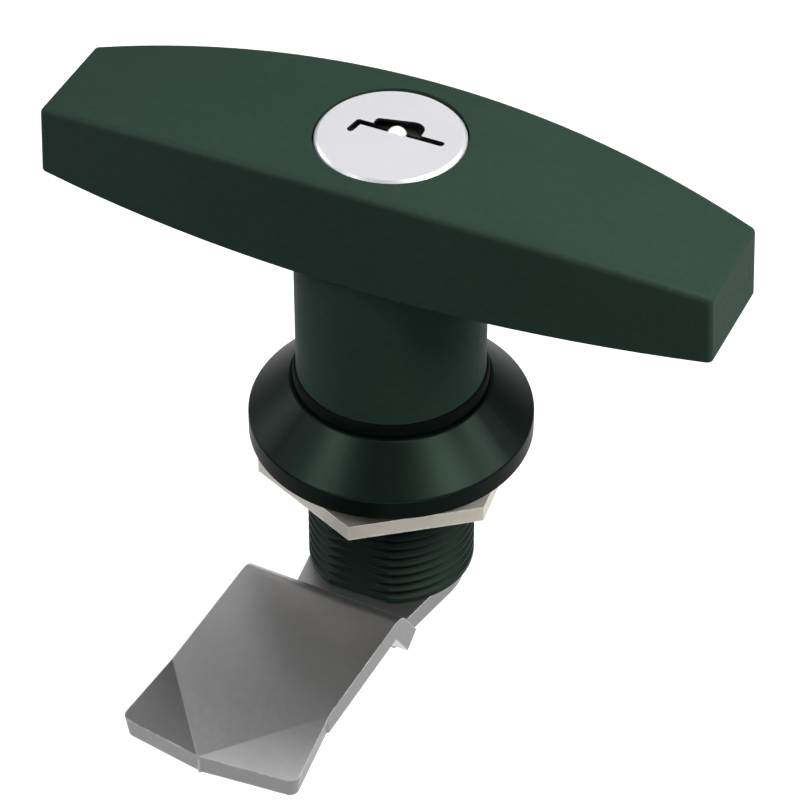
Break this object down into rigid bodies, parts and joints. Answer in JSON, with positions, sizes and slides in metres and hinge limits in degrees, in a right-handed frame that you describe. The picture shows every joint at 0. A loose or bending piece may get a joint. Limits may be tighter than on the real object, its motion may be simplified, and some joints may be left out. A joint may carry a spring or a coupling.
{
  "type": "handle lock",
  "caption": "T-handle cabinet lock: a bar handle with a key cylinder turns a cranked cam behind a panel, held by a flange and a nut.",
  "frame": {"origin": "centre of the panel seat, the flange's under face, on the handle's turning axis", "axes": "+Z along the turning axis from the panel up to the handle, X along the handle's bar at rest, and the cam points to -Y at rest"},
  "size_m": [0.0904, 0.0704, 0.0775],
  "materials": {
    "handle_coat": "dark green-black powder coat, fine texture, satin",
    "housing_coat": "dark green-black coat, smoother and a little glossier",
    "seal_rubber": "black rubber, matt",
    "turned_steel": "turned, zinc plated",
    "pin_steel": "ground steel pin",
    "bearing_plastic": "natural bearing plastic",
    "spring_steel": "spring steel, lightly oiled",
    "ball_steel": "polished bearing ball",
    "nut_zinc": "bright zinc plate, warm silver",
    "cam_zinc": "zinc-plated pressed steel, satin grey",
    "fixing_zinc": "zinc-plated steel fixings",
    "die_cast_zinc": "zinc die casting, satin",
    "cap_satin": "satin nickel plate, near white",
    "shutter_steel": "bright nickel-plated steel",
    "wafer_brass": "stamped brass"
  },
  "bodies": {
    "fixed_body": {"housing": "housing_coat", "column_seal": "seal_rubber", "panel_seal": "seal_rubber", "hex_nut": "nut_zinc"},
    "handle_group": {"handle": "handle_coat", "cylinder_shell": "die_cast_zinc", "retaining_pin": "pin_steel", "spindle": "turned_steel", "spindle_pin": "pin_steel", "neck_o_ring": "seal_rubber", "thrust_washer": "bearing_plastic", "stop_pin": "pin_steel", "detent_balls": "ball_steel", "detent_spring": "spring_steel", "spindle_washer": "turned_steel", "spindle_circlip": "spring_steel", "cam": "cam_zinc", "cam_washer": "fixing_zinc", "cam_lock_washer": "fixing_zinc", "cam_screw": "fixing_zinc"},
    "plug_group": {"key_plug": "die_cast_zinc", "plug_cap": "cap_satin", "shutter_pin": "pin_steel", "shutter_spring": "spring_steel", "wafer_springs": "spring_steel", "plug_clip": "spring_steel", "plug_driver": "turned_steel"},
    "shutter": {"dust_shutter": "shutter_steel"},
    "wafer_set": {"wafers": "wafer_brass"},
    "bolt": {"lock_bolt": "die_cast_zinc"}
  },
  "joints": [
    {"name": "handle_turn", "type": "hinge", "parent": "fixed_body", "child": "handle_group", "pos_m": [0, 0, 0], "axis": [0, 0, 1], "range_deg": [0, 90]},
    {"name": "plug_turn", "type": "hinge", "parent": "handle_group", "child": "plug_group", "pos_m": [0, 0, 0.0449], "axis": [0, 0, 1], "range_deg": [0, 90]},
    {"name": "bolt_slide", "type": "slide", "parent": "handle_group", "child": "bolt", "axis": [0, 1, 0], "range_m": [0, 0.0024]},
    {"name": "wafer_slide", "type": "slide", "parent": "plug_group", "child": "wafer_set", "axis": [1, 0, 0], "range_m": [0, 0.0008]},
    {"name": "shutter_tilt", "type": "hinge", "parent": "plug_group", "child": "shutter", "pos_m": [0, -0.0019, 0.04405], "axis": [-1, 0, 0], "range_deg": [0, 70], "stiffness_Nm_per_rad": 0.0002, "springref_deg": -17.19}
  ],
  "couplings": [
    {"joint": "bolt_slide", "follows": "plug_turn", "m_per_rad": 0.0015278}
  ]
}
